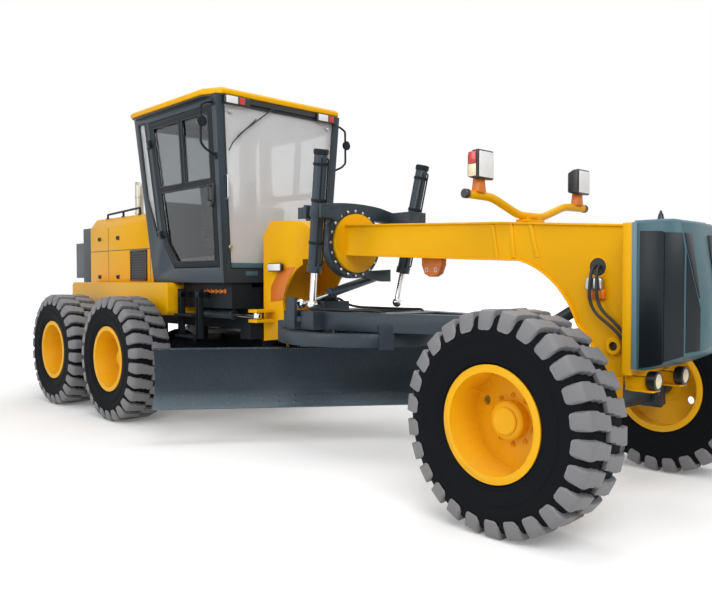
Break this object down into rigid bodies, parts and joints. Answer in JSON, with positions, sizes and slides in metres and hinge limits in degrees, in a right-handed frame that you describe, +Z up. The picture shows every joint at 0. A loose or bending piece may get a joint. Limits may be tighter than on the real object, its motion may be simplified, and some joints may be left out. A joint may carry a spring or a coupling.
{
  "type": "motor grader",
  "caption": "Road grader with a centre hinge, tandem drive wheels, leaning steered front wheels, a cab and a blade on a turning circle.",
  "frame": {"origin": "bottom centre of the whole machine's box, on the ground under the cab's front", "axes": "+X forward, +Y to the left, +Z up"},
  "size_m": [8.88, 3.0196, 3.405],
  "materials": {
    "yellow_paint": "satin",
    "dark_paint": "satin",
    "frame_paint": "satin",
    "tyre": "matt",
    "rim_paint": "satin",
    "glass": "clear",
    "chrome": "polished",
    "blade_steel": "worn",
    "exhaust": "dull",
    "seat_fabric": "woven",
    "black_plastic": "matt",
    "engine_iron": "dull"
  },
  "bodies": {
    "rear_machine": {"rear_frame": "frame_paint", "tandem_axle": "frame_paint", "side_tanks": "yellow_paint", "engine_block": "engine_iron", "hood": "yellow_paint", "rear_cowl": "dark_paint", "exhaust_stack": "exhaust", "cab_shell": "dark_paint", "cab_roof": "yellow_paint", "cab_glass": "glass", "operator_seat": "seat_fabric", "steering_console": "black_plastic", "steps_and_mirrors": "frame_paint"},
    "front_machine": {"front_frame": "yellow_paint", "saddle": "yellow_paint", "lamp_bar": "yellow_paint", "front_box": "dark_paint", "front_axle": "yellow_paint"},
    "wheel_rear_left": {"tyre_rear_left": "tyre", "rim_rear_left": "rim_paint"},
    "wheel_rear_right": {"tyre_rear_right": "tyre", "rim_rear_right": "rim_paint"},
    "wheel_mid_left": {"tyre_mid_left": "tyre", "rim_mid_left": "rim_paint"},
    "wheel_mid_right": {"tyre_mid_right": "tyre", "rim_mid_right": "rim_paint"},
    "cab_door_left": {"door_left": "dark_paint", "door_glass_left": "glass"},
    "cab_door_right": {"door_right": "dark_paint", "door_glass_right": "glass"},
    "articulation_barrel_left": {"articulation_barrel_left": "frame_paint"},
    "articulation_rod_left": {"articulation_rod_left": "chrome"},
    "articulation_barrel_right": {"articulation_barrel_right": "frame_paint"},
    "articulation_rod_right": {"articulation_rod_right": "chrome"},
    "lean_yoke_left": {"lean_yoke_left": "frame_paint"},
    "lean_yoke_right": {"lean_yoke_right": "frame_paint"},
    "lean_bar": {"lean_bar": "frame_paint"},
    "lean_barrel": {"lean_barrel": "frame_paint"},
    "lean_rod": {"lean_rod": "chrome"},
    "knuckle_left": {"knuckle_left": "frame_paint"},
    "knuckle_right": {"knuckle_right": "frame_paint"},
    "tie_rod_end": {"tie_rod_end": "frame_paint"},
    "tie_rod": {"tie_rod": "frame_paint"},
    "steering_barrel": {"steering_barrel": "frame_paint"},
    "steering_rod": {"steering_rod": "chrome"},
    "wheel_front_left": {"tyre_front_left": "tyre", "rim_front_left": "rim_paint"},
    "wheel_front_right": {"tyre_front_right": "tyre", "rim_front_right": "rim_paint"},
    "drawbar_ball": {"drawbar_ball": "dark_paint"},
    "drawbar": {"drawbar": "dark_paint"},
    "circle": {"circle": "dark_paint"},
    "tilt_brackets": {"tilt_brackets": "dark_paint"},
    "moldboard": {"moldboard": "blade_steel"},
    "lift_barrel_left": {"lift_barrel_left": "frame_paint"},
    "lift_rod_left": {"lift_rod_left": "chrome"},
    "lift_barrel_right": {"lift_barrel_right": "frame_paint"},
    "lift_rod_right": {"lift_rod_right": "chrome"},
    "centre_shift_barrel": {"centre_shift_barrel": "frame_paint"},
    "centre_shift_rod": {"centre_shift_rod": "chrome"}
  },
  "joints": [
    {"name": "wheel_rear_left_roll", "type": "hinge", "parent": "rear_machine", "child": "wheel_rear_left", "pos_m": [-3.009, 1.0775, 0.67], "axis": [0, 1, 0], "continuous": true},
    {"name": "wheel_rear_right_roll", "type": "hinge", "parent": "rear_machine", "child": "wheel_rear_right", "pos_m": [-3.009, -1.0775, 0.67], "axis": [0, 1, 0], "continuous": true},
    {"name": "wheel_mid_left_roll", "type": "hinge", "parent": "rear_machine", "child": "wheel_mid_left", "pos_m": [-1.471, 1.0775, 0.67], "axis": [0, 1, 0], "continuous": true},
    {"name": "wheel_mid_right_roll", "type": "hinge", "parent": "rear_machine", "child": "wheel_mid_right", "pos_m": [-1.471, -1.0775, 0.67], "axis": [0, 1, 0], "continuous": true},
    {"name": "door_left_hinge", "type": "hinge", "parent": "rear_machine", "child": "cab_door_left", "pos_m": [-1.29703, 0.73433, 2.01838], "axis": [-0.1178, 0.0643, 0.9909], "range_deg": [0, 90]},
    {"name": "door_right_hinge", "type": "hinge", "parent": "rear_machine", "child": "cab_door_right", "pos_m": [-1.29703, -0.73433, 2.01838], "axis": [0.1178, 0.0643, -0.9909], "range_deg": [0, 90]},
    {"name": "articulation", "type": "hinge", "parent": "rear_machine", "child": "front_machine", "pos_m": [-0.04, 0, 1.15], "axis": [0, 0, 1], "range_deg": [-25, 25]},
    {"name": "articulation_barrel_left_swing", "type": "hinge", "parent": "rear_machine", "child": "articulation_barrel_left", "pos_m": [-0.89, 0.455, 1.16], "axis": [0, 0, 1], "range_deg": [-5.14, 5.14]},
    {"name": "articulation_rod_left_slide", "type": "slide", "parent": "articulation_barrel_left", "child": "articulation_rod_left", "axis": [0.9997, 0.0234, 0], "range_m": [-0.2079, 0.2079]},
    {"name": "articulation_barrel_right_swing", "type": "hinge", "parent": "rear_machine", "child": "articulation_barrel_right", "pos_m": [-0.89, -0.455, 1.16], "axis": [0, 0, 1], "range_deg": [-5.14, 5.14]},
    {"name": "articulation_rod_right_slide", "type": "slide", "parent": "articulation_barrel_right", "child": "articulation_rod_right", "axis": [0.9997, -0.0234, 0], "range_m": [-0.2079, 0.2079]},
    {"name": "wheel_lean", "type": "hinge", "parent": "front_machine", "child": "lean_yoke_left", "pos_m": [3.66, 0.65, 0.67], "axis": [1, 0, 0], "range_deg": [-17, 17]},
    {"name": "wheel_lean_right", "type": "hinge", "parent": "front_machine", "child": "lean_yoke_right", "pos_m": [3.66, -0.65, 0.67], "axis": [1, 0, 0], "range_deg": [-17, 17]},
    {"name": "lean_bar_pin", "type": "hinge", "parent": "lean_yoke_left", "child": "lean_bar", "pos_m": [3.522, 0.65, 0.865], "axis": [1, 0, 0], "range_deg": [-17, 17]},
    {"name": "lean_barrel_swing", "type": "hinge", "parent": "front_machine", "child": "lean_barrel", "pos_m": [3.66, 0.17, 0.8], "axis": [1, 0, 0], "range_deg": [-0.97, 0.97]},
    {"name": "lean_rod_slide", "type": "slide", "parent": "lean_barrel", "child": "lean_rod", "axis": [0, 0.9888, 0.1495], "range_m": [-0.0596, 0.0596]},
    {"name": "steering", "type": "hinge", "parent": "lean_yoke_left", "child": "knuckle_left", "pos_m": [3.66, 0.9, 0.67], "axis": [0, 0, 1], "range_deg": [-45, 45]},
    {"name": "steering_right", "type": "hinge", "parent": "lean_yoke_right", "child": "knuckle_right", "pos_m": [3.66, -0.9, 0.67], "axis": [0, 0, 1], "range_deg": [-45, 45]},
    {"name": "tie_rod_end_turn", "type": "hinge", "parent": "knuckle_left", "child": "tie_rod_end", "pos_m": [3.445, 0.9, 0.56], "axis": [0, 0, 1], "range_deg": [-45, 45]},
    {"name": "tie_rod_tilt", "type": "hinge", "parent": "tie_rod_end", "child": "tie_rod", "pos_m": [3.445, 0.9, 0.56], "axis": [1, 0, 0], "range_deg": [-17, 17]},
    {"name": "steering_barrel_swing", "type": "hinge", "parent": "front_machine", "child": "steering_barrel", "pos_m": [3.504, -0.15, 0.66], "axis": [1, 0, 0], "range_deg": [-6.06, 6.06]},
    {"name": "steering_rod_slide", "type": "slide", "parent": "steering_barrel", "child": "steering_rod", "axis": [0, -1, 0], "range_m": [-0.1132, 0.1132]},
    {"name": "wheel_front_left_roll", "type": "hinge", "parent": "knuckle_left", "child": "wheel_front_left", "pos_m": [3.66, 1.0775, 0.67], "axis": [0, 1, 0], "continuous": true},
    {"name": "wheel_front_right_roll", "type": "hinge", "parent": "knuckle_right", "child": "wheel_front_right", "pos_m": [3.66, -1.0775, 0.67], "axis": [0, 1, 0], "continuous": true},
    {"name": "blade_lift", "type": "hinge", "parent": "front_machine", "child": "drawbar_ball", "pos_m": [3.55, 0, 1.355], "axis": [0, 1, 0], "range_deg": [-5.1, 5.5]},
    {"name": "drawbar_swing", "type": "hinge", "parent": "drawbar_ball", "child": "drawbar", "pos_m": [3.55, 0, 1.355], "axis": [0, 0, 1], "range_deg": [-6, 6]},
    {"name": "circle_turn", "type": "hinge", "parent": "drawbar", "child": "circle", "pos_m": [1.22, 0, 1.005], "axis": [0, 0, 1], "continuous": true},
    {"name": "blade_pitch", "type": "hinge", "parent": "circle", "child": "tilt_brackets", "pos_m": [0.97048, 0.19008, 0.43429], "axis": [0.606, 0.7955, 0], "range_deg": [-5, 40]},
    {"name": "blade_shift", "type": "slide", "parent": "tilt_brackets", "child": "moldboard", "axis": [0.606, 0.7955, 0], "range_m": [-0.35, 0.78]},
    {"name": "lift_barrel_left_swing", "type": "hinge", "parent": "front_machine", "child": "lift_barrel_left", "pos_m": [1.265, 0.6, 2.11], "axis": [1, 0, 0], "range_deg": [-17.64, 17.64]},
    {"name": "lift_rod_left_slide", "type": "slide", "parent": "lift_barrel_left", "child": "lift_rod_left", "axis": [-0.1863, -0.0721, -0.9798], "range_m": [-0.2329, 0.2329]},
    {"name": "lift_barrel_right_swing", "type": "hinge", "parent": "front_machine", "child": "lift_barrel_right", "pos_m": [1.265, -0.6, 2.11], "axis": [1, 0, 0], "range_deg": [-17.64, 17.64]},
    {"name": "lift_rod_right_slide", "type": "slide", "parent": "lift_barrel_right", "child": "lift_rod_right", "axis": [-0.1863, 0.0721, -0.9798], "range_m": [-0.2329, 0.2329]},
    {"name": "centre_shift_barrel_swing", "type": "hinge", "parent": "front_machine", "child": "centre_shift_barrel", "pos_m": [0.925, 0.48, 1.56], "axis": [1, 0, 0], "range_deg": [-13.64, 13.64]},
    {"name": "centre_shift_rod_slide", "type": "slide", "parent": "centre_shift_barrel", "child": "centre_shift_rod", "axis": [0, -0.9678, -0.2516], "range_m": [-0.2706, 0.2706]}
  ],
  "couplings": [
    {"joint": "articulation_barrel_left_swing", "follows": "articulation", "ratio": 0.20166},
    {"joint": "articulation_rod_left_slide", "follows": "articulation", "m_per_rad": -0.46714},
    {"joint": "articulation_barrel_right_swing", "follows": "articulation", "ratio": 0.20166},
    {"joint": "articulation_rod_right_slide", "follows": "articulation", "m_per_rad": 0.46714},
    {"joint": "wheel_lean_right", "follows": "wheel_lean", "ratio": 1},
    {"joint": "lean_bar_pin", "follows": "wheel_lean", "ratio": -1},
    {"joint": "lean_barrel_swing", "follows": "wheel_lean", "ratio": -0.05596},
    {"joint": "lean_rod_slide", "follows": "wheel_lean", "m_per_rad": -0.19689},
    {"joint": "steering_right", "follows": "steering", "ratio": 1},
    {"joint": "tie_rod_end_turn", "follows": "steering", "ratio": -1},
    {"joint": "tie_rod_tilt", "follows": "wheel_lean", "ratio": -0.72222},
    {"joint": "steering_barrel_swing", "follows": "wheel_lean", "ratio": 0.34964},
    {"joint": "steering_rod_slide", "follows": "steering", "m_per_rad": 0.14127},
    {"joint": "lift_barrel_left_swing", "follows": "drawbar_swing", "ratio": -2.8815},
    {"joint": "lift_rod_left_slide", "follows": "blade_lift", "m_per_rad": -2.3786},
    {"joint": "lift_barrel_right_swing", "follows": "drawbar_swing", "ratio": -2.8815},
    {"joint": "lift_rod_right_slide", "follows": "blade_lift", "m_per_rad": -2.3786},
    {"joint": "centre_shift_barrel_swing", "follows": "blade_lift", "ratio": -2.4323},
    {"joint": "centre_shift_rod_slide", "follows": "drawbar_swing", "m_per_rad": 2.533}
  ]
}
